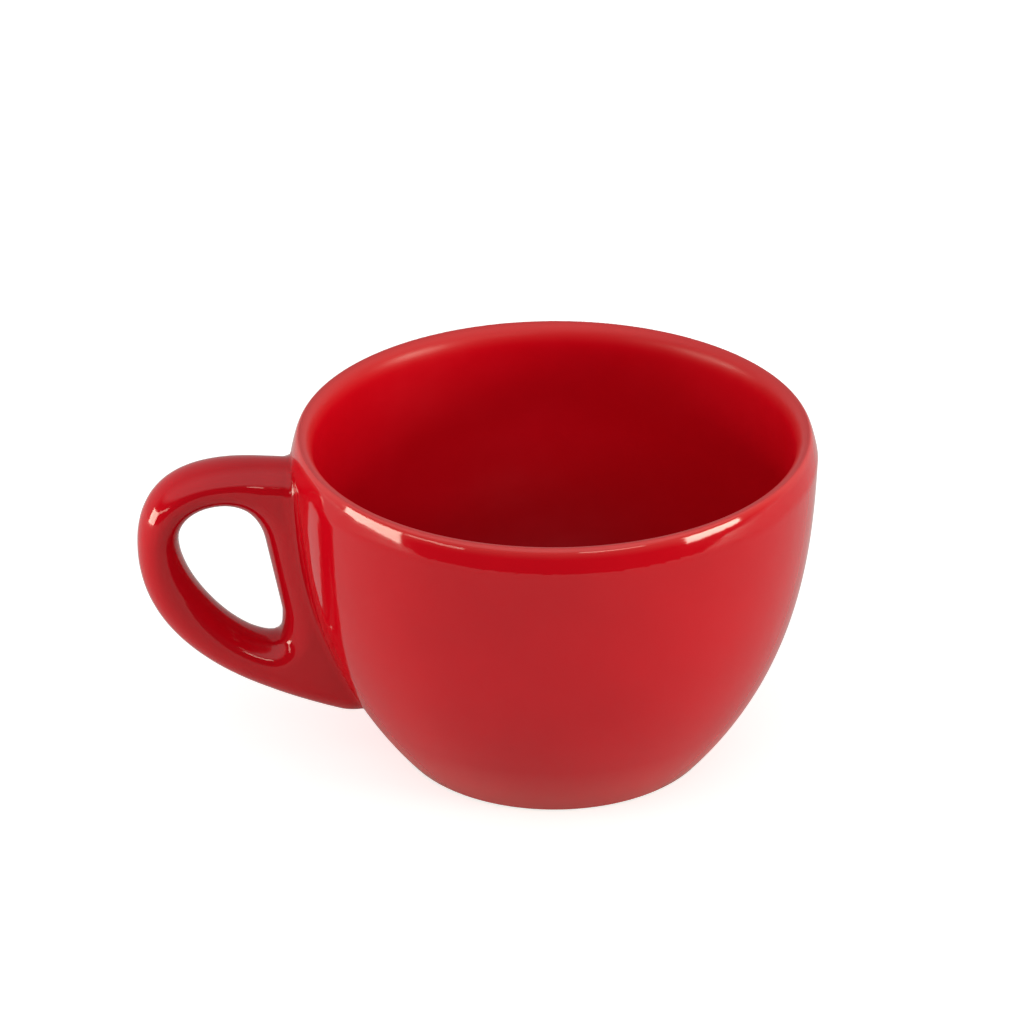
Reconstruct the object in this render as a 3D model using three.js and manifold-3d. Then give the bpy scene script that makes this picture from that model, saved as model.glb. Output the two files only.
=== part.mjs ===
// Coffee cup: a turned stoneware bowl with a cast loop handle luted to its wall, under a coat of red glaze.
// Millimetres, +Z up. The cup stands on z = 0 and its handle points along -X.
// Every outer size is the finished, glazed one. The clay under the glaze is smaller by the coat.
import * as THREE from 'three';
import { mergeVertices } from 'three/addons/utils/BufferGeometryUtils.js';
import Module from 'manifold-3d';

// Bowl
const RIM_DIAMETER = 100;
const CUP_HEIGHT = 66.1;
const LIP_THICKNESS = 4.3; // where the inside of the lip has turned upright
const CROWN_INSET = 1.75; // from the outside of the rim in to the crown of the lip
const CROWN_OUTER_PULL = 0.65; // how flat the crown is outwards
const CROWN_INNER_PULL = 1.7; // and inwards
const SHOULDER_HEIGHT = 4.7; // from the crown down to the ridge under the lip's shoulder
const SHOULDER_LEAN = 13; // degrees from upright, just above that ridge
const SHOULDER_PULL = 2.6;
const ROLL_HEIGHT = 5; // from the crown down to where the inside is upright
const ROLL_PULL = 3;
const WALL_LEAN = 1.6; // degrees from upright, just under the lip
const WALL_PULL = 18.5; // how long the wall stays near upright below the lip
const FOOT_ANGLE = 50.7; // degrees from the table, where the wall leaves the foot
const FOOT_PULL = 27.1; // how long the wall keeps that slope
const INSIDE_WALL_PULL = 23.5; // how deep the inside stays near upright
const INSIDE_FLOOR_PULL = 14; // how wide the inside curves out from its floor
const FLOOR_THICKNESS = 6;
const FLOOR_DIAMETER = 44;

// Foot
const FOOT_DIAMETER = 61.6; // where the glaze ends
const FOOT_BEVEL = 0.6; // height of that edge above the table
const FOOT_BEVEL_WIDTH = 1.1;
const FOOT_RING_WIDTH = 4;
const RECESS_DEPTH = 1.6;
const RECESS_DRAFT = 0.8; // slope of the recess wall, measured across

// Handle, seen from its side
const HANDLE_WIDTH = 12;
const EDGE_FLAT = 0.8; // flat middle of each edge, between the rounds towards the two cheeks
const EDGE_ROUND = 3.6; // how far the round edges come in from the outline
const MOST_ROUND = 0.45; // round edges take at most this share of a bar
const HANDLE_REACH = 29.6; // from the rim's edge out to the outer bend
const HANDLE_TOP_DROP = 3.8; // from the rim down to the upper bar, at the wall
const BEND_DROP = 20.8; // from the rim down to the outermost point
const UPPER_EDGE_PULL = 4.5; // how long the upper edge stays level
const UPPER_BEND_PULL = 22.7; // roundness of the bend above its outermost point
const LOWER_BEND_PULL = 11.4; // roundness below it
const LOWER_EDGE_PULL = 33.4; // how long the lower edge keeps its slope
const LOWER_SLOPE = 18.5; // degrees from level
const LOWER_ROOT_HEIGHT = 8.4; // where the lower edge meets the wall
const HEEL_OUT = 5.8; // from the wall out to where the lower edge takes up its slope
const HEEL_RISE = 0.27;
const HEEL_DIP = 8; // degrees below level, where the lower edge leaves the wall
const HEEL_PULL = 2;
const ROOT_DEPTH = 10; // how far the outline runs on inside the wall, where it is cut off

// Finger hole
const UPPER_BAR = 8.2; // bar above the hole
const BAND_THICKNESS = 7.9; // band outside the hole
const STRAP_THICKNESS = 6.2; // strap between the hole and the wall
const HOLE_TOP_OUT = 13.4; // from the rim's edge out to the top of the hole
const HOLE_TOP_PULL = 4.7;
const HOLE_BEND_DROP = 19.2; // from the rim down to the hole's outermost point
const HOLE_BEND_PULL = 4.2;
const HOLE_SIDE_PULL = 8.4;
const HOLE_SLOPE = 22.1; // degrees from level, lower edge of the hole
const HOLE_SLOPE_PULL = 5.9;
const HOLE_FLOOR_HEIGHT = 25.9; // where the lower edge turns into the corner by the wall
const HOLE_FLOOR_OUT = 12.5; // how far that is from the wall
const HOLE_LOW_CORNER = 4.8; // height of that corner
const HOLE_TOP_CORNER = 8.2; // height of the round corner under the upper bar
const HOLE_CORNER_PULL = 4.6;

// Coats and joints
const GLAZE = 0.4;
const SLIP = 0.8;
const SEAT_GAP = 0.3; // between the wall, the slip, the handle and the coat round the handle

// Fineness
const TURN_STEPS = 48;
const WALL_STEPS = 9;
const LIP_STEPS = 4;
const EDGE_STEPS = 10;
const ROUND_STEPS = 4;
const MERGE = 1e-4;

const wasm = await Module();
wasm.setup();

const rimRadius = RIM_DIAMETER / 2;
const footRadius = FOOT_DIAMETER / 2;
const footFlatRadius = footRadius - FOOT_BEVEL_WIDTH;
const recessRadius = footFlatRadius - FOOT_RING_WIDTH;
const point = (radius, height) => new THREE.Vector2(radius, height);
const polar = (length, degrees) => {
  const angle = THREE.MathUtils.degToRad(degrees);
  return point(length * Math.cos(angle), length * Math.sin(angle));
};

const ridge = point(rimRadius, CUP_HEIGHT - SHOULDER_HEIGHT);
const lipCrown = point(rimRadius - CROWN_INSET, CUP_HEIGHT);
const rollEnd = point(rimRadius - LIP_THICKNESS, CUP_HEIGHT - ROLL_HEIGHT);

// Curve that leaves its start by one arrow and comes in to its end by another.
function curve(start, leave, end, arrive) {
  return new THREE.CubicBezierCurve(start, start.clone().add(leave), end.clone().add(arrive), end);
}

// Outer wall from the foot up to the ridge under the lip's shoulder.
function outerWall() {
  const foot = point(footRadius, FOOT_BEVEL);
  return curve(foot, polar(FOOT_PULL, FOOT_ANGLE), ridge, polar(WALL_PULL, 270 - WALL_LEAN));
}

// Shoulder of the lip, from the ridge up to the crown.
function lipShoulder() {
  return curve(ridge, polar(SHOULDER_PULL, 90 + SHOULDER_LEAN), lipCrown, point(CROWN_OUTER_PULL, 0));
}

// Inside of the lip, rolling over from the crown into the upright wall.
function lipRoll() {
  return curve(lipCrown, point(-CROWN_INNER_PULL, 0), rollEnd, point(0, ROLL_PULL));
}

// Inner wall from the lip down to the edge of the flat floor.
function innerWall() {
  const floor = point(FLOOR_DIAMETER / 2, FLOOR_THICKNESS);
  return curve(rollEnd, point(0, -INSIDE_WALL_PULL), floor, point(INSIDE_FLOOR_PULL, 0));
}

// Half outline of the glazed surface, from the glaze line over the lip to the middle of the floor.
function glazedOutline() {
  const outside = outerWall().getSpacedPoints(WALL_STEPS);
  const shoulder = lipShoulder().getPoints(LIP_STEPS).slice(1);
  const roll = lipRoll().getPoints(LIP_STEPS).slice(1);
  const inside = innerWall().getSpacedPoints(WALL_STEPS).slice(1);
  return [...outside, ...shoulder, ...roll, ...inside, point(0, FLOOR_THICKNESS)];
}

// The outline moved sideways by a distance, to its left for a positive one. Points on the axis stay on it.
function offsetOutline(outline, distance) {
  return outline.map((here, i) => {
    const before = outline[Math.max(i - 1, 0)];
    const after = outline[Math.min(i + 1, outline.length - 1)];
    const along = after.clone().sub(before).normalize();
    const left = here.x === 0 ? point(0, -1) : point(-along.y, along.x);
    return here.clone().addScaledVector(left, distance);
  });
}

const glazed = glazedOutline();
const clay = offsetOutline(glazed, GLAZE);
const crown = WALL_STEPS + LIP_STEPS;
const clayOutside = clay.slice(0, crown + 1);

// A solid turned about the Z axis.
function turned(profile) {
  return new THREE.LatheGeometry(profile, TURN_STEPS).rotateX(Math.PI / 2);
}

// The space inside the clay's outer wall, filled to the axis and grown outwards by a distance.
function filledBowl(growth) {
  const wall = growth === 0 ? clayOutside : offsetOutline(clayOutside, -growth);
  const low = point(0, wall[0].y);
  const high = point(0, wall[crown].y);
  return solid(turned([low, ...wall, high]));
}

// A closed mesh as a solid that can be joined and cut.
function solid(geometry) {
  const bare = geometry.clone();
  bare.deleteAttribute('normal');
  bare.deleteAttribute('uv');
  const merged = mergeVertices(bare, MERGE);
  const corners = merged.index.array;
  const kept = [];
  for (let i = 0; i < corners.length; i += 3) {
    const [a, b, c] = corners.slice(i, i + 3);
    if (a !== b && b !== c && c !== a) kept.push(a, b, c);
  }
  const vertProperties = new Float32Array(merged.attributes.position.array);
  return new wasm.Manifold(new wasm.Mesh({ numProp: 3, vertProperties, triVerts: new Uint32Array(kept) }));
}

function geometryOf(manifold) {
  const mesh = manifold.getMesh();
  const geometry = new THREE.BufferGeometry();
  geometry.setAttribute('position', new THREE.BufferAttribute(new Float32Array(mesh.vertProperties), 3));
  geometry.setIndex(new THREE.BufferAttribute(new Uint32Array(mesh.triVerts), 1));
  geometry.computeVertexNormals();
  return geometry;
}

const wallRadiusAt = (height) => {
  const wall = outerWall().getPoints(WALL_STEPS * EDGE_STEPS);
  const next = wall.findIndex((p) => p.y >= height);
  const [low, high] = [wall[next - 1], wall[next]];
  return THREE.MathUtils.mapLinear(height, low.y, high.y, low.x, high.x);
};

// Adds a curve to an outline, which leaves the last point by one arrow and comes in to its end by another.
function curveTo(outline, leave, end, arrive) {
  const out = outline.currentPoint.clone().add(leave);
  const back = end.clone().add(arrive);
  outline.bezierCurveTo(out.x, out.y, back.x, back.y, end.x, end.y);
}

// Finger hole: a rounded D with its straight side along the strap.
function fingerHole() {
  const top = point(rimRadius + HOLE_TOP_OUT, CUP_HEIGHT - HANDLE_TOP_DROP - UPPER_BAR);
  const bend = point(rimRadius + HANDLE_REACH - BAND_THICKNESS, CUP_HEIGHT - HOLE_BEND_DROP);
  const floor = point(wallRadiusAt(HOLE_FLOOR_HEIGHT) + HOLE_FLOOR_OUT, HOLE_FLOOR_HEIGHT);
  const strapEdge = (height) => point(wallRadiusAt(height) + STRAP_THICKNESS, height);
  const strapLow = strapEdge(HOLE_FLOOR_HEIGHT + HOLE_LOW_CORNER);
  const strapTop = strapEdge(top.y - HOLE_TOP_CORNER);
  const strapSlope = strapTop.clone().sub(strapLow).setLength(HOLE_CORNER_PULL);
  const hole = new THREE.Path().moveTo(top.x, top.y);
  curveTo(hole, point(HOLE_TOP_PULL, 0), bend, point(0, HOLE_BEND_PULL));
  curveTo(hole, point(0, -HOLE_SIDE_PULL), floor, polar(HOLE_SLOPE_PULL, HOLE_SLOPE));
  curveTo(hole, polar(-HOLE_LOW_CORNER, HOLE_SLOPE), strapLow, point(0, -HOLE_LOW_CORNER));
  hole.lineTo(strapTop.x, strapTop.y);
  curveTo(hole, strapSlope, top, point(-HOLE_CORNER_PULL, 0));
  return hole;
}

// Side outline of the handle. Its roots run on inside the wall.
function handleOutline() {
  const upper = point(rimRadius, CUP_HEIGHT - HANDLE_TOP_DROP);
  const bend = point(rimRadius + HANDLE_REACH, CUP_HEIGHT - BEND_DROP);
  const lower = point(wallRadiusAt(LOWER_ROOT_HEIGHT), LOWER_ROOT_HEIGHT);
  const heel = lower.clone().add(point(HEEL_OUT, HEEL_RISE));
  const outline = new THREE.Shape().moveTo(lower.x - ROOT_DEPTH, lower.y);
  outline.lineTo(lower.x, lower.y);
  curveTo(outline, polar(HEEL_PULL, -HEEL_DIP), heel, polar(-HEEL_PULL, LOWER_SLOPE));
  curveTo(outline, polar(LOWER_EDGE_PULL, LOWER_SLOPE), bend, point(0, -LOWER_BEND_PULL));
  curveTo(outline, point(0, UPPER_BEND_PULL), upper, point(UPPER_EDGE_PULL, 0));
  outline.lineTo(upper.x - ROOT_DEPTH, upper.y);
  outline.holes.push(fingerHole());
  return outline;
}

// The whole handle with round edges, lying in the plane y = 0 and reaching out along -X.
// It is smaller than the finished handle by an inset all round.
function handleForm(inset) {
  const round = Math.min(EDGE_ROUND, MOST_ROUND * UPPER_BAR, MOST_ROUND * BAND_THICKNESS);
  const geometry = new THREE.ExtrudeGeometry(handleOutline(), {
    depth: EDGE_FLAT,
    curveSegments: EDGE_STEPS,
    bevelSegments: ROUND_STEPS,
    bevelThickness: (HANDLE_WIDTH - EDGE_FLAT) / 2 - inset,
    bevelSize: round - inset,
    bevelOffset: -round,
  });
  const outwards = new THREE.Vector3(-1, 0, 0);
  const upwards = new THREE.Vector3(0, 0, 1);
  const across = new THREE.Vector3(0, 1, 0);
  geometry.translate(0, 0, -EDGE_FLAT / 2);
  geometry.applyMatrix4(new THREE.Matrix4().makeBasis(outwards, upwards, across));
  return solid(geometry);
}

const clayHandle = handleForm(GLAZE + SEAT_GAP);

// Clay bowl with its wall, lip, floor and bare foot ring.
function cupBody() {
  const foot = [
    point(0, RECESS_DEPTH),
    point(recessRadius - RECESS_DRAFT, RECESS_DEPTH),
    point(recessRadius, 0),
    point(footFlatRadius, 0),
  ];
  return turned([...foot, ...clay]);
}

// Cast clay handle, cut off square to the wall where the slip bonds it.
function handle() {
  return geometryOf(clayHandle.subtract(filledBowl(SEAT_GAP + SLIP + SEAT_GAP)));
}

// Layer of joining slip between the handle and the wall.
function handleSlip() {
  const layer = filledBowl(SEAT_GAP + SLIP).subtract(filledBowl(SEAT_GAP));
  return geometryOf(clayHandle.intersect(layer));
}

// Glaze poured inside the bowl, up to the crown of the lip.
function insideGlaze() {
  const under = clay.slice(crown).reverse();
  const over = glazed.slice(crown);
  return turned([...under, ...over]);
}

// Glaze over the outside of the bowl, from the crown of the lip to the foot, and round the handle.
function outsideGlaze() {
  const under = clayOutside.slice().reverse();
  const over = glazed.slice(0, crown + 1);
  const coat = solid(turned([...over, ...under, over[0]]));
  const handleCoat = handleForm(0).subtract(filledBowl(0));
  return geometryOf(coat.add(handleCoat).subtract(handleForm(GLAZE)));
}

// Glaze in the recess inside the foot ring.
function baseGlaze() {
  const radius = recessRadius - RECESS_DRAFT - SEAT_GAP;
  return turned([
    point(0, RECESS_DEPTH - GLAZE),
    point(radius, RECESS_DEPTH - GLAZE),
    point(radius, RECESS_DEPTH),
    point(0, RECESS_DEPTH),
  ]);
}

const CLAY_LOOK = { color: 0xe4dacb, roughness: 0.85, metalness: 0 };
const SLIP_LOOK = { color: 0xd9cdbb, roughness: 0.9, metalness: 0 };
const GLAZE_LOOK = { color: 0xb01822, roughness: 0.12, metalness: 0 };

const cup = new THREE.Group();

function add(name, geometry, look) {
  const mesh = new THREE.Mesh(geometry, new THREE.MeshStandardMaterial(look));
  mesh.name = name;
  cup.add(mesh);
}

add('cup_body', cupBody(), CLAY_LOOK);
add('handle', handle(), CLAY_LOOK);
add('handle_slip', handleSlip(), SLIP_LOOK);
add('inside_glaze', insideGlaze(), GLAZE_LOOK);
add('outside_glaze', outsideGlaze(), GLAZE_LOOK);
add('base_glaze', baseGlaze(), GLAZE_LOOK);

// The origin is under the middle of the whole part, so the bowl stands towards +X by half of the handle.
cup.position.x = HANDLE_REACH / 2;

export default cup;
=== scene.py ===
"""Glazed coffee cup: a skin of red glaze over bowl and handle, a bare clay foot, and a plain studio."""
import math

import bmesh
import bpy
import numpy as np
from mathutils import Matrix, Vector


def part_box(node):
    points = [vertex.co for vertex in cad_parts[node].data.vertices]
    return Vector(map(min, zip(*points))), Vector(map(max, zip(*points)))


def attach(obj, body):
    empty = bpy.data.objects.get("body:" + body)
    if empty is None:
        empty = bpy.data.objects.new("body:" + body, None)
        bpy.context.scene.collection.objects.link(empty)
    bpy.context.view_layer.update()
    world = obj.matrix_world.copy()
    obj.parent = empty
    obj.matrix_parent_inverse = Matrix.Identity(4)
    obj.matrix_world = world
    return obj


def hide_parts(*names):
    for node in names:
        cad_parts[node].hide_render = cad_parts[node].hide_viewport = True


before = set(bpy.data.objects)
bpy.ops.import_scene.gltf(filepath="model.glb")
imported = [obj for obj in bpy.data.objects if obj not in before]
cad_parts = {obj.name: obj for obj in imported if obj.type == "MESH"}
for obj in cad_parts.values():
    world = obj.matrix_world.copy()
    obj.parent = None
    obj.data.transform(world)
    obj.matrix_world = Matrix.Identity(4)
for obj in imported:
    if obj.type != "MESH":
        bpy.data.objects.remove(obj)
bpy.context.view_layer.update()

MM = 0.001
BODY = "root"

# Bowl, finished sizes in millimetres. The rim, the height and the handle's reach come from the frame
COAT_LOW, COAT_HIGH = np.round(np.array(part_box("outside_glaze"), float) / MM, 3)
RIM_RADIUS = COAT_HIGH[1]
AXIS_X = COAT_HIGH[0] - RIM_RADIUS
CUP_HEIGHT = COAT_HIGH[2]
LIP_THICKNESS = 4.3
CROWN_INSET = 1.75
CROWN_OUTER_PULL = 0.65
CROWN_INNER_PULL = 1.7
SHOULDER_HEIGHT = 4.7
SHOULDER_LEAN = 13.0
SHOULDER_PULL = 2.6
ROLL_HEIGHT = 5.0
ROLL_PULL = 3.0
RIDGE = (RIM_RADIUS, CUP_HEIGHT - SHOULDER_HEIGHT)
LIP_CROWN = (RIM_RADIUS - CROWN_INSET, CUP_HEIGHT)
ROLL_END = (RIM_RADIUS - LIP_THICKNESS, CUP_HEIGHT - ROLL_HEIGHT)
WALL_LEAN = 1.6
WALL_PULL = 18.5
FOOT_ANGLE = 50.7
FOOT_PULL = 27.1
INSIDE_WALL_PULL = 23.5
INSIDE_FLOOR_PULL = 14.0
FLOOR_THICKNESS = 6.0
FLOOR_RADIUS = 22.0

# Foot
FOOT_RADIUS = 30.8
GLAZE_LINE = 0.6
FOOT_BEVEL_WIDTH = 1.1
FOOT_RING_WIDTH = 4.0
RECESS_DEPTH = 1.6
RECESS_DRAFT = 0.8
FOOT_EASE = 0.7
PATCH_GAP = 0.3
BELOW_GLAZE_LINE = 2.5

# Handle, seen from its side: distance from the bowl's axis, and height
HANDLE_HALF_WIDTH = 6.0
HANDLE_TOP_DROP = 3.8
BEND_DROP = 20.8
HANDLE_TOP = (RIM_RADIUS, CUP_HEIGHT - HANDLE_TOP_DROP)
HANDLE_BEND = (AXIS_X - COAT_LOW[0], CUP_HEIGHT - BEND_DROP)
LOWER_ROOT_HEIGHT = 8.4
LOWER_SLOPE = 18.5
HEEL_OUT = 5.8
HEEL_RISE = 0.27
HEEL_DIP = 8.0
HEEL_PULL = 2.0
LOWER_EDGE_PULL = 33.4
LOWER_BEND_PULL = 11.4
UPPER_BEND_PULL = 22.7
UPPER_EDGE_PULL = 4.5
ROOT_DEPTH = 10.0
ROUND_EDGE = 5.4

# Finger hole
UPPER_BAR = 8.2
BAND_THICKNESS = 7.9
HOLE_TOP_OUT = 13.4
HOLE_BEND_DROP = 19.2
HOLE_TOP = (RIM_RADIUS + HOLE_TOP_OUT, HANDLE_TOP[1] - UPPER_BAR)
HOLE_BEND = (HANDLE_BEND[0] - BAND_THICKNESS, CUP_HEIGHT - HOLE_BEND_DROP)
HOLE_TOP_PULL = 4.7
HOLE_BEND_PULL = 4.2
HOLE_SIDE_PULL = 8.4
HOLE_SLOPE = 22.1
HOLE_SLOPE_PULL = 5.9
HOLE_FLOOR_HEIGHT = 25.9
HOLE_FLOOR_OUT = 12.5
HOLE_LOW_CORNER = 4.8
HOLE_TOP_CORNER = 8.2
HOLE_CORNER_PULL = 4.6
STRAP_THICKNESS = 6.2

# Steps along the stretches of the outlines
WALL_STEPS = 90
SHOULDER_STEPS = 24
ROLL_STEPS = 32
INSIDE_STEPS = 80
HEEL_STEPS = 16
HANDLE_STEPS = 60
HOLE_STEPS = 40
LOW_CORNER_STEPS = 24
STRAP_STEPS = 12
EASE_STEPS = 6

# Skin of glaze
GLAZE = 0.4
UNDER_GLAZE = 0.02
SEAM_EDGE_ROUND = 0.8
SEAM_CHEEK_ROUND = 3.0
SEAM_LOW_ROUND = 1.2
SEAM_HEIGHTS = (22.0, 42.0)
SEAM_FADE = 7.0

# Meshing of the skin: the size of its facets, where they are finer, and how close a corner snaps to a cut
VOXEL = 0.95
SNAP = 0.3 * VOXEL
FINE_CUTS = 2
FINE_SNAP = SNAP / (FINE_CUTS + 1)
FINE_LIP_DEPTH = 1.8
PROJECT_STEPS = 4
RELAX_STEPS = 3
TURN_STEPS = 192
ROUGH_BEVEL = 0.7 * ROUND_EDGE
AXIS_HOLE = 0.01
KEPT_BELOW_LINE = 1.0
SHARP_ANGLE = 35.0

# Zone in which the handle is measured, the points measured at once, and limits that keep divisions safe
HANDLE_FROM_RADIUS = FOOT_RADIUS / 2
HANDLE_ZONE_WIDTH = 3 * HANDLE_HALF_WIDTH
CHUNK = 4096
SLOPE_STEP = 0.02
LEAST_LENGTH = 1e-6
LEAST_SLOPE = 1e-3
LEAST_HALF = 1.0
SAME_PLACE = 1e-7
FAR = 1e3

# Camera, fitted to the photograph: degrees and millimetres
CAMERA_AZIMUTH = -6.0
CAMERA_ELEVATION = 28.56
CAMERA_DISTANCE = 800.0
CAMERA_LENS = 145.75
SENSOR_WIDTH = 36.0
CAMERA_ROLL = -0.448
LOOK_HEIGHT = 32.5
LOOK_RIGHT = -8.13
LOOK_UP = 14.02

# Studio: a room with a bright ceiling, dim walls and a dark front, a softbox on each side and two strips.
# An edge in the room is where one level ends and where the next begins, as a part of the room's radius.
# A lamp has its azimuth, its elevation, its width and height in metres, and its power
ROOM_FRONT = 0.06
ROOM_WALLS = 0.5
ROOM_BACK_CEILING = 0.5
ROOM_CEILING = 1.0
ROOM_FRONT_EDGE = (0.0, 0.35)
ROOM_CEILING_EDGE = (0.38, 0.55)
ROOM_BACK_EDGE = (-0.1, 0.4)
LAMP_COLOUR = (1.0, 0.90, 0.74)
LAMP_DISTANCE = 0.9
LAMPS = {
    "softbox_left": (-86.0, 5.0, 0.50, 0.24, 5.4),
    "softbox_right": (62.0, 10.0, 0.42, 0.20, 5.4),
    "strip_left": (-56.0, 12.0, 0.40, 0.06, 0.45),
    "strip_right": (18.0, 23.0, 0.42, 0.06, 0.6),
}
FLOOR_SIZE = 6.0
FLOOR_IN_FRONT = 0.34
FLOOR_COLOUR = (0.65, 0.65, 0.65, 1)
FLOOR_GLOW = 0.65

# Colours, linear
# Pale red: near the lip, partly glaze that runs thinner and partly a painted highlight; low on the outside
# wall, painted bounce light from the floor.
THIN_GLAZE_AND_PAINTED_LIGHT = (0.58, 0.040, 0.042)
# Dark red: darker glaze in the seam between handle and wall, and painted shade deep in the bowl.
DARK_GLAZE_AND_PAINTED_SHADE = (0.30, 0.001, 0.004)
OUTSIDE_LOOK = {
    "reds": ((0.49, 0.0015, 0.008), (0.52, 0.002, 0.009)),
    "thin_glaze_and_highlight_depth": 2.0,
    # Paler red towards the bottom of the outside wall: painted bounce light from the floor.
    "low_painted_light_colour": THIN_GLAZE_AND_PAINTED_LIGHT,
    "low_painted_light_heights": (14.0, 0.0),
    "roughness": (0.05, 0.09),
    "specular": 0.5,
}
INSIDE_LOOK = {
    # Painted light: the inside reds are a brighter, deeper copy of the outside glaze that stands in for the
    # light in the bowl.
    "reds": ((0.60, 0.0008, 0.008), (0.64, 0.001, 0.010)),
    "thin_glaze_and_highlight_depth": 4.0,
    # Darker towards the bottom of the inside: painted shade.
    "low_painted_light_colour": DARK_GLAZE_AND_PAINTED_SHADE,
    "low_painted_light_heights": (44.0, FLOOR_THICKNESS),
    "roughness": (0.30, 0.36),
    "specular": 0.25,
}
THIN_GLAZE_AND_HIGHLIGHT_FALL = 1.6
GLAZE_IOR = 1.44
CLAY_PALE = (0.66, 0.58, 0.48)
CLAY_WARM = (0.54, 0.45, 0.35)
CLAY_SPECK = (0.24, 0.17, 0.11)

# Patterns: noise scale and detail, the stretch of the noise that is used, and depths in metres
GLAZE_DRIFT = (45.0, 3.0)
GLAZE_GLOSS = (180.0, 2.0)
GLAZE_WAVES = (260.0, 1.0)
GLAZE_WAVE_DEPTH = 0.00004
SEAM_DARK_RANGE = (0.3, 1.0)
SEAM_DARK_SHARE = 0.5
CLAY_DRIFT = (90.0, 4.0)
CLAY_SPECKS = (1500.0, 1.0)
CLAY_POLISH = (700.0, 3.0)
CLAY_GRAIN = (2600.0, 3.0)
CLAY_GRAIN_DEPTH = 0.00008
CLAY_ROUGHNESS = (0.7, 0.9)
DRIFT_STRETCH = (0.35, 0.65)
GLOSS_STRETCH = (0.3, 0.7)
SPECK_STRETCH = (0.66, 0.72)
SPECK_SHARE = 0.7

# Sockets of a node that mixes colours: its share and its two colours, and its result
MIX_INPUTS = (0, 6, 7)
MIX_RESULT = 2


def polar(length, degrees):
    angle = math.radians(degrees)
    return np.array([length * math.cos(angle), length * math.sin(angle)])


def bezier(start, leave, arrive, end, steps):
    """Cubic curve that leaves its start by one arrow and comes in to its end by another."""
    start, end = np.asarray(start, float), np.asarray(end, float)
    out, back = start + leave, end + arrive
    t = np.linspace(0, 1, steps + 1)[:, None]
    return (1 - t) ** 3 * start + 3 * t * (1 - t) ** 2 * out + 3 * t**2 * (1 - t) * back + t**3 * end


def eased(points, reach):
    """The line with each of its inner corners rounded off over a short reach."""
    points = np.asarray(points, float)
    t = np.linspace(0, 1, EASE_STEPS + 1)[:, None]
    pieces = [points[:1]]
    for before, corner, after in zip(points[:-2], points[1:-1], points[2:]):
        start = corner + (before - corner) * min(0.5, reach / np.linalg.norm(before - corner))
        end = corner + (after - corner) * min(0.5, reach / np.linalg.norm(after - corner))
        pieces.append((1 - t) ** 2 * start + 2 * t * (1 - t) * corner + t**2 * end)
    pieces.append(points[-1:])
    return np.vstack(pieces)


def outer_wall():
    foot = (FOOT_RADIUS, GLAZE_LINE)
    return bezier(foot, polar(FOOT_PULL, FOOT_ANGLE), polar(WALL_PULL, 270 - WALL_LEAN), RIDGE, WALL_STEPS)


def lip():
    """The shoulder up to the crown, and the roll from there into the upright inside."""
    rise = polar(SHOULDER_PULL, 90 + SHOULDER_LEAN)
    shoulder = bezier(RIDGE, rise, (CROWN_OUTER_PULL, 0), LIP_CROWN, SHOULDER_STEPS)
    roll = bezier(LIP_CROWN, (-CROWN_INNER_PULL, 0), (0, ROLL_PULL), ROLL_END, ROLL_STEPS)
    return np.vstack([shoulder[1:], roll[1:]])


def inner_wall():
    floor = (FLOOR_RADIUS, FLOOR_THICKNESS)
    return bezier(ROLL_END, (0, -INSIDE_WALL_PULL), (INSIDE_FLOOR_PULL, 0), floor, INSIDE_STEPS)


WALL = outer_wall()


def bowl_outline():
    """Half outline of the glazed bowl, from below the glaze line over the lip to the middle of the floor."""
    below = WALL[:1] - polar(BELOW_GLAZE_LINE, FOOT_ANGLE)
    return np.vstack([below, WALL, lip(), inner_wall()[1:], [(0.0, FLOOR_THICKNESS)]])


def wall_radius(height):
    return np.interp(height, WALL[:, 1], WALL[:, 0])


def handle_outline():
    lower = np.array([wall_radius(LOWER_ROOT_HEIGHT), LOWER_ROOT_HEIGHT])
    root = lower - (ROOT_DEPTH, 0)
    heel = lower + (HEEL_OUT, HEEL_RISE)
    turn = bezier(lower, polar(HEEL_PULL, -HEEL_DIP), polar(-HEEL_PULL, LOWER_SLOPE), heel, HEEL_STEPS)
    away = polar(LOWER_EDGE_PULL, LOWER_SLOPE)
    rise = bezier(heel, away, (0, -LOWER_BEND_PULL), HANDLE_BEND, HANDLE_STEPS)
    top = bezier(HANDLE_BEND, (0, UPPER_BEND_PULL), (UPPER_EDGE_PULL, 0), HANDLE_TOP, HANDLE_STEPS)
    end = np.array(HANDLE_TOP) - (ROOT_DEPTH, 0)
    return np.vstack([[root], turn, rise[1:], top[1:], [end]])


def strap_edge(height):
    return np.array([wall_radius(height) + STRAP_THICKNESS, height])


def finger_hole():
    floor = np.array([wall_radius(HOLE_FLOOR_HEIGHT) + HOLE_FLOOR_OUT, HOLE_FLOOR_HEIGHT])
    low = strap_edge(HOLE_FLOOR_HEIGHT + HOLE_LOW_CORNER)
    high = strap_edge(HOLE_TOP[1] - HOLE_TOP_CORNER)
    slope = (high - low) / np.linalg.norm(high - low) * HOLE_CORNER_PULL
    floor_pull = polar(HOLE_SLOPE_PULL, HOLE_SLOPE)
    corner_pull = polar(-HOLE_LOW_CORNER, HOLE_SLOPE)
    return np.vstack([
        bezier(HOLE_TOP, (HOLE_TOP_PULL, 0), (0, HOLE_BEND_PULL), HOLE_BEND, HOLE_STEPS)[:-1],
        bezier(HOLE_BEND, (0, -HOLE_SIDE_PULL), floor_pull, floor, HOLE_STEPS)[:-1],
        bezier(floor, corner_pull, (0, -HOLE_LOW_CORNER), low, LOW_CORNER_STEPS)[:-1],
        np.linspace(low, high, STRAP_STEPS + 1)[:-1],
        bezier(high, slope, (-HOLE_CORNER_PULL, 0), HOLE_TOP, HOLE_STEPS),
    ])


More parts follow.
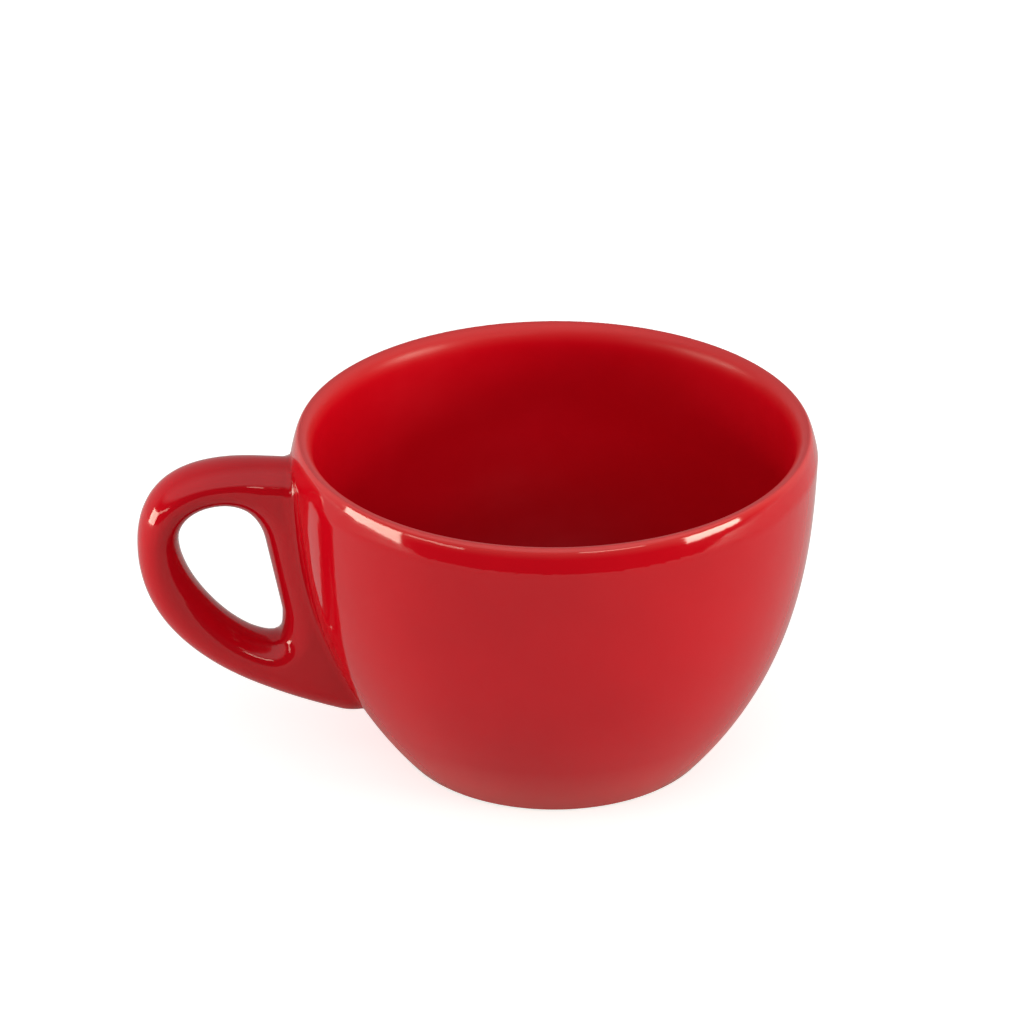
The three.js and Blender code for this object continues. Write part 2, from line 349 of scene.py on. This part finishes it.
class Line:
    """A line of points in a plane, with the distance from it and its normal, which points to its right."""

    def __init__(self, points, closed=False):
        self.start = points[:-1]
        self.span = points[1:] - points[:-1]
        self.square = (self.span**2).sum(1)
        right = np.stack([self.span[:, 1], -self.span[:, 0]], 1) / np.sqrt(self.square)[:, None]
        ends = (right[-1:], right[:1]) if closed else (right[:1], right[-1:])
        both = np.vstack([ends[0], right]) + np.vstack([right, ends[1]])
        self.normal = both / np.linalg.norm(both, axis=1)[:, None]

    def measure(self, points):
        """Signed distance, positive on the right, the smooth normal there, and how far along the line."""
        found = [self._measure(points[i : i + CHUNK]) for i in range(0, len(points), CHUNK)]
        return [np.concatenate(values) for values in zip(*found)]

    def _measure(self, points):
        across = points[:, :1] - self.start[:, 0]
        up = points[:, 1:] - self.start[:, 1]
        t = np.clip((across * self.span[:, 0] + up * self.span[:, 1]) / self.square, 0, 1)
        square = (across - t * self.span[:, 0]) ** 2 + (up - t * self.span[:, 1]) ** 2
        best = square.argmin(1)
        row = np.arange(len(points))
        share = t[row, best]
        normal = self.normal[best] * (1 - share)[:, None] + self.normal[best + 1] * share[:, None]
        normal /= np.linalg.norm(normal, axis=1)[:, None]
        gap = points - self.start[best] - share[:, None] * self.span[best]
        distance = np.copysign(np.sqrt(square[row, best]), (gap * normal).sum(1))
        return distance, normal, best + share


OUTLINE = bowl_outline()
CROWN = int(OUTLINE[:, 1].argmax())
CROWN_RADIUS = OUTLINE[CROWN, 0]
BOWL_LINE = Line(OUTLINE)
HANDLE_LINE = Line(handle_outline())
HOLE_LINE = Line(finger_hole(), closed=True)


def bowl_field(points):
    """Distance from the bowl's surface, its normal, and the place along the outline."""
    across = points[:, :2] - (AXIS_X, 0)
    radius = np.linalg.norm(across, axis=1)
    distance, flat, along = BOWL_LINE.measure(np.stack([radius, points[:, 2]], 1))
    outwards = across / np.maximum(radius, LEAST_LENGTH)[:, None]
    return distance, np.column_stack([outwards * flat[:, :1], flat[:, 1]]), along


def handle_field(points):
    """Distance from the handle, whose section is an ellipse between its outline and the finger hole, its
    normal, and how deep inside the side outline the point is."""
    side = np.stack([AXIS_X - points[:, 0], points[:, 2]], 1)
    outside, outside_normal, _ = HANDLE_LINE.measure(side)
    inside, inside_normal, _ = HOLE_LINE.measure(side)
    depth_out, depth_in = -outside, -inside
    half = (depth_out + depth_in) / 2
    thick = half > ROUND_EDGE
    half_slope = np.where(thick[:, None], 0, -(outside_normal + inside_normal) / 2)
    half = np.clip(half, LEAST_HALF, ROUND_EDGE)
    nearer = depth_out < depth_in
    depth = np.where(nearer, depth_out, depth_in)
    depth_slope = -np.where(nearer[:, None], outside_normal, inside_normal)
    out = np.maximum(1 - depth / half, 0)
    out_slope = (-depth_slope + (depth / half)[:, None] * half_slope) / half[:, None]
    wide = points[:, 1] / HANDLE_HALF_WIDTH
    reach = np.maximum(np.sqrt(out**2 + wide**2), LEAST_LENGTH)
    flat = out[:, None] * out_slope / reach[:, None]
    slope = np.column_stack([-flat[:, 0], wide / HANDLE_HALF_WIDTH / reach, flat[:, 1]])
    steep = np.maximum(np.linalg.norm(slope, axis=1), LEAST_SLOPE)
    return (reach - 1) / steep, slope / steep[:, None], depth


def seam_round(height, depth):
    """How round the seam is: little along the handle's edges and low down, and more high up on its cheeks."""
    cheek = np.interp(height, SEAM_HEIGHTS, (SEAM_LOW_ROUND, SEAM_CHEEK_ROUND))
    inside = np.clip(depth / SEAM_FADE, 0, 1)
    return SEAM_EDGE_ROUND + (cheek - SEAM_EDGE_ROUND) * inside**2 * (3 - 2 * inside)


def joined_field(points):
    """Distance from the bowl and handle with the seam between them rounded, the normal of the nearer one, the
    place along the bowl's outline, and how much of the seam is there."""
    bowl, normal, along = bowl_field(points)
    near = points[:, 0] < AXIS_X - HANDLE_FROM_RADIUS
    near &= np.abs(points[:, 1]) < HANDLE_ZONE_WIDTH
    near &= along < CROWN
    handle = np.full(len(points), FAR)
    handle_normal = np.zeros_like(normal)
    depth = np.zeros(len(points))
    handle[near], handle_normal[near], depth[near] = handle_field(points[near])
    rounding = seam_round(points[:, 2], depth)
    seam = np.clip(1 - np.abs(bowl - handle) / rounding, 0, 1)
    distance = np.minimum(bowl, handle) - rounding * seam**2 / 4
    normal = np.where((handle < bowl)[:, None], handle_normal, normal)
    return distance, normal, along, seam


def seam_slope(points):
    """How fast the distance grows along each axis."""
    steps = np.eye(3) * SLOPE_STEP
    rises = [joined_field(points + step)[0] - joined_field(points - step)[0] for step in steps]
    return np.stack(rises, 1) / (2 * SLOPE_STEP)


def cup_field(points):
    """Distance from the whole glazed surface, its normal, the place along the bowl's outline, and how much of
    the round seam is there, in which the handle runs into the wall."""
    distance, normal, along, seam = joined_field(points)
    blended = seam > 0
    normal[blended] = seam_slope(points[blended])
    length = np.maximum(np.linalg.norm(normal, axis=1), LEAST_SLOPE)
    return distance / length, normal / length[:, None], along, seam


def new_object(name, data):
    made = bpy.data.objects.new(name, data)
    bpy.context.scene.collection.objects.link(made)
    return made


def mesh_from(name, corners, faces):
    mesh = bpy.data.meshes.new(name)
    mesh.from_pydata((np.asarray(corners) * MM).tolist(), [], [list(map(int, face)) for face in faces])
    mesh.update()
    return mesh


def turned_faces(outline, steps):
    """Corners and faces of an outline turned about the bowl's axis. The faces look to its right."""
    angle = np.arange(steps) * 2 * math.pi / steps
    ring = np.stack([np.cos(angle), np.sin(angle)], 1)
    places = []
    for radius, height in outline:
        places.append(np.column_stack([ring * radius + (AXIS_X, 0), np.full(steps, height)]))
    rows, columns = np.meshgrid(np.arange(len(outline) - 1), np.arange(steps), indexing="ij")
    after = (columns + 1) % steps
    quads = np.stack([rows * steps + columns, rows * steps + after, (rows + 1) * steps + after,
                      (rows + 1) * steps + columns], -1)
    return np.vstack(places), quads.reshape(-1, 4)


def turned_solid(name, outline):
    """A closed solid from an outline that begins on the bowl's axis below and ends on it above."""
    mesh = mesh_from(name, *turned_faces(outline, TURN_STEPS))
    solid = bmesh.new()
    solid.from_mesh(mesh)
    bmesh.ops.remove_doubles(solid, verts=solid.verts[:], dist=SAME_PLACE)
    solid.to_mesh(mesh)
    solid.free()
    mesh.shade_smooth()
    mesh.set_sharp_from_angle(angle=math.radians(SHARP_ANGLE))
    return new_object(name, mesh)


def add_spline(curve, points):
    spline = curve.splines.new("POLY")
    spline.points.add(len(points) - 1)
    flat = np.column_stack([points, np.zeros(len(points)), np.ones(len(points))])
    spline.points.foreach_set("co", flat.ravel())
    spline.use_cyclic_u = True


def rough_handle():
    """A rough solid of the handle: its side outline with the hole, thickened and rounded."""
    curve = bpy.data.curves.new("rough_handle", "CURVE")
    curve.dimensions = "2D"
    curve.fill_mode = "BOTH"
    curve.offset = -ROUGH_BEVEL
    curve.bevel_depth = ROUGH_BEVEL
    curve.extrude = HANDLE_HALF_WIDTH - ROUGH_BEVEL
    add_spline(curve, handle_outline())
    add_spline(curve, finger_hole()[:-1])
    holder = new_object("rough_handle", curve)
    mesh = bpy.data.meshes.new_from_object(holder.evaluated_get(bpy.context.evaluated_depsgraph_get()))
    bpy.data.objects.remove(holder)
    corners = np.array([vertex.co for vertex in mesh.vertices])
    placed = np.column_stack([AXIS_X - corners[:, 0], corners[:, 2], corners[:, 1]])
    faces = [list(face.vertices) for face in mesh.polygons]
    bpy.data.meshes.remove(mesh)
    return placed, faces


def rough_cup():
    """Bowl and handle as one evenly meshed closed surface."""
    low = OUTLINE[0]
    steps = TURN_STEPS // 2
    closed = np.vstack([[(AXIS_HOLE, low[1])], OUTLINE[:-1], [(AXIS_HOLE, FLOOR_THICKNESS)]])
    bowl, bowl_faces = turned_faces(closed, steps)
    last = len(bowl) - steps
    caps = [list(range(steps - 1, -1, -1)), list(range(last, last + steps))]
    handle, handle_faces = rough_handle()
    faces = bowl_faces.tolist() + caps
    faces += [[corner + len(bowl) for corner in face] for face in handle_faces]
    holder = new_object("rough_cup", mesh_from("rough_cup", np.vstack([bowl, handle]), faces))
    remesh = holder.modifiers.new("remesh", "REMESH")
    remesh.mode = "VOXEL"
    remesh.voxel_size = VOXEL * MM
    even = bpy.data.meshes.new_from_object(holder.evaluated_get(bpy.context.evaluated_depsgraph_get()))
    bpy.data.objects.remove(holder)
    corners = np.empty(len(even.vertices) * 3)
    even.vertices.foreach_get("co", corners)
    faces = np.empty(len(even.polygons) * 4, int)
    even.polygons.foreach_get("vertices", faces)
    bpy.data.meshes.remove(even)
    return corners.reshape(-1, 3) / MM, faces.reshape(-1, 4)


def project(points):
    """The points moved onto the surface. Those under the cup, which are cut off later, stay."""
    free = points[:, 2] > GLAZE_LINE - KEPT_BELOW_LINE
    for _ in range(PROJECT_STEPS):
        distance, normal, _, _ = cup_field(points[free])
        points[free] -= np.clip(distance, -VOXEL, VOXEL)[:, None] * normal
    return points


def neighbour_mean(points, edges):
    total = np.zeros_like(points)
    count = np.zeros(len(points))
    for a, b in (edges.T, edges.T[::-1]):
        np.add.at(total, a, points[b])
        np.add.at(count, a, 1)
    return total / np.maximum(count, 1)[:, None]


def smooth_cup():
    """Corners and faces of the finished surface, spread evenly and exactly on it."""
    points, faces = rough_cup()
    sides = np.vstack([faces[:, [i, (i + 1) % 4]] for i in range(4)])
    edges = np.unique(np.sort(sides, axis=1), axis=0)
    points = project(points)
    for _ in range(RELAX_STEPS):
        points = project(neighbour_mean(points, edges))
    return points, faces


def on_ring(place, radius, height):
    """The nearest place on a ring about the bowl's axis."""
    across = Vector((place.x - AXIS_X * MM, place.y)).normalized() * radius * MM
    return Vector((across.x + AXIS_X * MM, across.y, height * MM))


def cut_at_ring(cut, sides, radius, height, snap):
    """Cuts the faces along a ring, where the corners' sides change sign. Corners near it move onto it."""
    cut.verts.index_update()
    ring = []
    for vertex in cut.verts:
        if abs(sides[vertex.index]) < snap:
            sides[vertex.index] = 0
            ring.append(vertex)
    for edge in cut.edges[:]:
        a, b = (sides[vertex.index] for vertex in edge.verts)
        if a * b < 0:
            ring.append(bmesh.utils.edge_split(edge, edge.verts[0], a / (a - b))[1])
    for vertex in ring:
        vertex.co = on_ring(vertex.co, radius, height)
    bmesh.ops.connect_verts(cut, verts=ring)


def glaze_line_sides(points):
    return points[:, 2] - GLAZE_LINE


def crown_sides(points):
    """How far each point is outside the crown of the lip, up on the lip, and plus or minus one elsewhere."""
    radius = np.linalg.norm(points[:, :2] - (AXIS_X, 0), axis=1)
    _, _, along = bowl_field(points)
    far = np.where(along < CROWN, 1.0, -1.0)
    return np.where(points[:, 2] > CUP_HEIGHT - VOXEL, radius - CROWN_RADIUS, far)


def corners_of(cut):
    return np.array([vertex.co for vertex in cut.verts]) / MM


def refine(cut):
    """Divides the faces in the seam and on the crown of the lip, and lays the new corners on the surface."""
    cut.verts.index_update()
    points = corners_of(cut)
    tight = (cup_field(points)[3] > 0) | (points[:, 2] > CUP_HEIGHT - FINE_LIP_DEPTH)
    fine = [edge for edge in cut.edges if all(tight[vertex.index] for vertex in edge.verts)]
    bmesh.ops.subdivide_edges(cut, edges=fine, cuts=FINE_CUTS, use_grid_fill=True)
    for vertex, place in zip(cut.verts, project(corners_of(cut)) * MM):
        vertex.co = place


def cut_cup():
    """The finished surface above the glaze line, with a row of edges along the crown of the lip."""
    cut = bmesh.new()
    cut.from_mesh(mesh_from("cut", *smooth_cup()))
    refine(cut)
    cut_at_ring(cut, glaze_line_sides(corners_of(cut)), FOOT_RADIUS, GLAZE_LINE, SNAP)
    below = [face for face in cut.faces if face.calc_center_median().z < GLAZE_LINE * MM]
    bmesh.ops.delete(cut, geom=below, context="FACES")
    cut_at_ring(cut, crown_sides(corners_of(cut)), CROWN_RADIUS, CUP_HEIGHT, FINE_SNAP)
    bmesh.ops.triangulate(cut, faces=[face for face in cut.faces if len(face.verts) > 4])
    cut.verts.index_update()
    points = corners_of(cut)
    faces = [[corner.index for corner in face.verts] for face in cut.faces]
    cut.free()
    return points, faces


def coat(name, points, normals, seam, faces):
    """A closed coat of glaze: the surface, the same surface one coat deeper, and the edge between them."""
    used, flat = np.unique(np.concatenate(faces), return_inverse=True)
    ends = np.cumsum([len(face) for face in faces])[:-1]
    top = [face.tolist() for face in np.split(flat, ends)]
    count = len(used)
    sides = {(a, b) for face in top for a, b in zip(face, face[1:] + face[:1])}
    rim = [(b, a, a + count, b + count) for a, b in sides if (b, a) not in sides]
    under = [[corner + count for corner in reversed(face)] for face in top]
    outer, normal = points[used], normals[used]
    mesh = mesh_from(name, np.vstack([outer, outer - GLAZE * normal]), top + under + sorted(rim))
    mesh.shade_smooth()
    shade_coat(mesh, np.vstack([normal, -normal]), len(top) + len(under))
    mesh.attributes.new("seam", "FLOAT", "POINT").data.foreach_set("value", np.tile(seam[used], 2))
    return new_object(name, mesh)


def shade_coat(mesh, normals, smooth_faces):
    """Exact normals on both sides of a coat, and flat ones along its edge."""
    corner = np.empty(len(mesh.loops), int)
    mesh.loops.foreach_get("vertex_index", corner)
    shading = normals[corner]
    for face in mesh.polygons[smooth_faces:]:
        shading[face.loop_indices] = face.normal
    mesh.normals_split_custom_set(shading.tolist())


def glaze_coats():
    points, faces = cut_cup()
    _, normals, along, seam = cup_field(points)
    outside, inside = [], []
    for face in faces:
        (outside if along[face].mean() < CROWN else inside).append(face)
    return [coat("outside_glaze_coat", points, normals, seam, outside),
            coat("inside_glaze_coat", points, normals, seam, inside)]


def clay_bowl():
    """The clay under the glaze, with the bare ring that the cup stands on and its recess."""
    ring_outside = FOOT_RADIUS - FOOT_BEVEL_WIDTH
    ring_inside = ring_outside - FOOT_RING_WIDTH
    recess = ring_inside - RECESS_DRAFT
    glazed = (OUTLINE - (GLAZE + UNDER_GLAZE) * BOWL_LINE.normal)[1:]
    glazed[-1, 0] = 0
    corners = [(0, RECESS_DEPTH), (recess, RECESS_DEPTH), (ring_inside, 0), (ring_outside, 0), glazed[0]]
    return turned_solid("clay_bowl", np.vstack([eased(corners, FOOT_EASE), glazed[1:]]))


def base_patch():
    """The glaze in the recess under the foot, with a rounded edge."""
    radius = FOOT_RADIUS - FOOT_BEVEL_WIDTH - FOOT_RING_WIDTH - RECESS_DRAFT - PATCH_GAP
    low = RECESS_DEPTH - GLAZE
    high = RECESS_DEPTH - UNDER_GLAZE
    corners = [(0, low), (radius, low), (radius, high), (0, high)]
    return turned_solid("base_glaze_patch", eased(corners, GLAZE / 2))


def add_node(tree, kind, inputs=(), **settings):
    """A node with its settings, and its inputs set to values or linked to other nodes' outputs."""
    made = tree.nodes.new(kind)
    for name, value in settings.items():
        setattr(made, name, value)
    for name, value in dict(inputs).items():
        if isinstance(value, bpy.types.NodeSocket):
            tree.links.new(value, made.inputs[name])
        else:
            made.inputs[name].default_value = value
    return made


def new_material(name):
    material = bpy.data.materials.new(name)
    material.use_nodes = True
    return material, material.node_tree, material.node_tree.nodes["Principled BSDF"]


def noise(tree, scale, detail):
    place = add_node(tree, "ShaderNodeTexCoord").outputs["Object"]
    inputs = {"Vector": place, "Scale": scale, "Detail": detail}
    return add_node(tree, "ShaderNodeTexNoise", inputs).outputs["Fac"]


def spread(tree, value, low, high, to_low=0.0, to_high=1.0):
    """The value taken from one range to another."""
    inputs = {"Value": value, "From Min": low, "From Max": high, "To Min": to_low, "To Max": to_high}
    return add_node(tree, "ShaderNodeMapRange", inputs).outputs["Result"]


def mixed(tree, share, first, second):
    """Two colours, mixed by a share."""
    mix = add_node(tree, "ShaderNodeMix", data_type="RGBA")
    for socket, value in zip(MIX_INPUTS, (share, first, second)):
        if isinstance(value, bpy.types.NodeSocket):
            tree.links.new(value, mix.inputs[socket])
        else:
            mix.inputs[socket].default_value = (*value, 1)
    return mix.outputs[MIX_RESULT]


def bumped(tree, shader, height, distance):
    bump = add_node(tree, "ShaderNodeBump", {"Height": height, "Distance": distance, "Strength": 1.0})
    tree.links.new(bump.outputs["Normal"], shader.inputs["Normal"])


def glaze_material(name, reds, thin_glaze_and_highlight_depth, low_painted_light_colour, low_painted_light_heights, roughness, specular):
    """Glossy red glaze: slow drifts of colour, paler near the lip (partly glaze that runs thinner there,
    partly a painted highlight), darker in the seam, painted light low down (paler bounce light outside,
    painted shade inside), and the faint waves of a fired coat."""
    material, tree, shader = new_material(name)
    drift = spread(tree, noise(tree, *GLAZE_DRIFT), *DRIFT_STRETCH)
    red = mixed(tree, drift, *reds)
    place = add_node(tree, "ShaderNodeTexCoord").outputs["Object"]
    height = add_node(tree, "ShaderNodeSeparateXYZ", {"Vector": place}).outputs["Z"]
    # Paler near the crown of the lip: partly thinner glaze, partly a painted highlight.
    near = spread(tree, height, (CUP_HEIGHT - thin_glaze_and_highlight_depth) * MM, (CUP_HEIGHT - GLAZE) * MM)
    thin_glaze_and_highlight = add_node(tree, "ShaderNodeMath", {0: near, 1: THIN_GLAZE_AND_HIGHLIGHT_FALL}, operation="POWER").outputs[0]
    red = mixed(tree, thin_glaze_and_highlight, red, THIN_GLAZE_AND_PAINTED_LIGHT)
    seam = add_node(tree, "ShaderNodeAttribute", attribute_name="seam").outputs["Fac"]
    # Darker in the seam between handle and wall.
    red = mixed(tree, spread(tree, seam, *SEAM_DARK_RANGE, 0.0, SEAM_DARK_SHARE), red, DARK_GLAZE_AND_PAINTED_SHADE)
    # Low down the colour is painted light: paler bounce light on the outside wall, painted shade deep in the
    # bowl.
    low = spread(tree, height, low_painted_light_heights[0] * MM, low_painted_light_heights[1] * MM)
    red = mixed(tree, low, red, low_painted_light_colour)
    tree.links.new(red, shader.inputs["Base Color"])
    gloss = spread(tree, noise(tree, *GLAZE_GLOSS), *GLOSS_STRETCH, *roughness)
    tree.links.new(gloss, shader.inputs["Roughness"])
    shader.inputs["IOR"].default_value = GLAZE_IOR
    shader.inputs["Specular IOR Level"].default_value = specular
    bumped(tree, shader, noise(tree, *GLAZE_WAVES), GLAZE_WAVE_DEPTH)
    return material


def clay_material(name, pale, warm):
    """Bare fired clay: warm drifts, dark specks and a fine grain."""
    material, tree, shader = new_material(name)
    body = mixed(tree, spread(tree, noise(tree, *CLAY_DRIFT), *DRIFT_STRETCH), pale, warm)
    specks = spread(tree, noise(tree, *CLAY_SPECKS), *SPECK_STRETCH, 0.0, SPECK_SHARE)
    tree.links.new(mixed(tree, specks, body, CLAY_SPECK), shader.inputs["Base Color"])
    rough = spread(tree, noise(tree, *CLAY_POLISH), *GLOSS_STRETCH, *CLAY_ROUGHNESS)
    tree.links.new(rough, shader.inputs["Roughness"])
    bumped(tree, shader, noise(tree, *CLAY_GRAIN), CLAY_GRAIN_DEPTH)
    return material


def dress(piece, material, node):
    """Gives a new piece its material and its place in the frame."""
    piece.data.materials.append(material)
    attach(piece, BODY)
    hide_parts(node)


def cover_node(node, material):
    """Gives a CAD node its material."""
    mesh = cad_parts[node].data
    mesh.materials.clear()
    mesh.materials.append(material)


def build_cup():
    clay = clay_material("bare_clay", CLAY_PALE, CLAY_WARM)
    slip = clay_material("joining_slip", CLAY_WARM, CLAY_PALE)
    outside, inside = glaze_coats()
    glaze = glaze_material("outside_red_glaze", **OUTSIDE_LOOK)
    satin = glaze_material("inside_red_glaze", **INSIDE_LOOK)
    dress(outside, glaze, "outside_glaze")
    dress(inside, satin, "inside_glaze")
    dress(base_patch(), glaze, "base_glaze")
    dress(clay_bowl(), clay, "cup_body")
    cover_node("handle", clay)
    cover_node("handle_slip", slip)


def direction(azimuth, elevation):
    """From the cup towards a compass direction, where 0 is straight in front and 90 to its right."""
    turn, rise = math.radians(azimuth), math.radians(elevation)
    return Vector((math.sin(turn) * math.cos(rise), -math.cos(turn) * math.cos(rise), math.sin(rise)))


def aimed(place, target):
    return (target - place).to_track_quat("-Z", "Y").to_matrix()


def add_camera():
    camera = bpy.data.cameras.new("camera")
    camera.sensor_width = SENSOR_WIDTH
    camera.lens = CAMERA_LENS
    aim = Vector((AXIS_X, 0, LOOK_HEIGHT))
    back = direction(CAMERA_AZIMUTH, CAMERA_ELEVATION)
    straight = aimed(aim + back, aim)
    right, up = straight.col[0], straight.col[1]
    place = aim + back * CAMERA_DISTANCE
    turn = aimed(place, aim + right * LOOK_RIGHT + up * LOOK_UP)
    turn = turn @ Matrix.Rotation(math.radians(CAMERA_ROLL), 3, "Z")
    holder = new_object("camera", camera)
    holder.matrix_world = Matrix.Translation(place * MM) @ turn.to_4x4()
    bpy.context.scene.camera = holder


def add_lamp(name, azimuth, elevation, width, height, power):
    light = bpy.data.lights.new(name, "AREA")
    light.shape = "RECTANGLE"
    light.size = width
    light.size_y = height
    light.energy = power
    light.color = LAMP_COLOUR
    target = Vector((AXIS_X, 0, LOOK_HEIGHT)) * MM
    place = target + direction(azimuth, elevation) * LAMP_DISTANCE
    holder = new_object(name, light)
    holder.matrix_world = Matrix.Translation(place) @ aimed(place, target).to_4x4()


def add_room():
    """The room's light, and plain white where the camera looks past the floor."""
    world = bpy.data.worlds.new("room")
    bpy.context.scene.world = world
    world.use_nodes = True
    tree = world.node_tree
    tree.nodes.clear()
    facing = add_node(tree, "ShaderNodeTexCoord").outputs["Generated"]
    parts = add_node(tree, "ShaderNodeSeparateXYZ", {"Vector": facing}).outputs
    walls = spread(tree, parts["Y"], *ROOM_FRONT_EDGE, ROOM_FRONT, ROOM_WALLS)
    high = spread(tree, parts["Z"], *ROOM_CEILING_EDGE)
    ceiling = spread(tree, parts["Y"], *ROOM_BACK_EDGE, ROOM_CEILING, ROOM_BACK_CEILING)
    above = add_node(tree, "ShaderNodeMath", {0: high, 1: ceiling}, operation="MULTIPLY").outputs[0]
    level = add_node(tree, "ShaderNodeMath", {0: above, 1: walls}, operation="MAXIMUM").outputs[0]
    room = add_node(tree, "ShaderNodeBackground", {"Color": (1, 1, 1, 1), "Strength": level})
    white = add_node(tree, "ShaderNodeBackground", {"Color": (1, 1, 1, 1), "Strength": 1.0})
    seen = add_node(tree, "ShaderNodeLightPath").outputs["Is Camera Ray"]
    mix = add_node(tree, "ShaderNodeMixShader", {0: seen, 1: room.outputs[0], 2: white.outputs[0]})
    add_node(tree, "ShaderNodeOutputWorld", {"Surface": mix.outputs[0]})


def add_floor():
    """A white floor, which ends in front of the cup, outside the picture."""
    half = FLOOR_SIZE / 2 / MM
    front = -FLOOR_IN_FRONT / MM
    corners = [(-half, front, 0), (half, front, 0), (half, half, 0), (-half, half, 0)]
    floor = new_object("floor", mesh_from("floor", corners, [(0, 1, 2, 3)]))
    material, tree, shader = new_material("floor_white")
    shader.inputs["Base Color"].default_value = FLOOR_COLOUR
    shader.inputs["Roughness"].default_value = 1.0
    shader.inputs["Specular IOR Level"].default_value = 0.0
    shader.inputs["Emission Color"].default_value = (1, 1, 1, 1)
    seen = add_node(tree, "ShaderNodeLightPath").outputs["Is Camera Ray"]
    tree.links.new(spread(tree, seen, 0.0, 1.0, 0.0, FLOOR_GLOW), shader.inputs["Emission Strength"])
    floor.data.materials.append(material)


build_cup()
add_camera()
for lamp, settings in LAMPS.items():
    add_lamp(lamp, *settings)
add_room()
add_floor()
bpy.context.scene.view_settings.view_transform = "Standard"
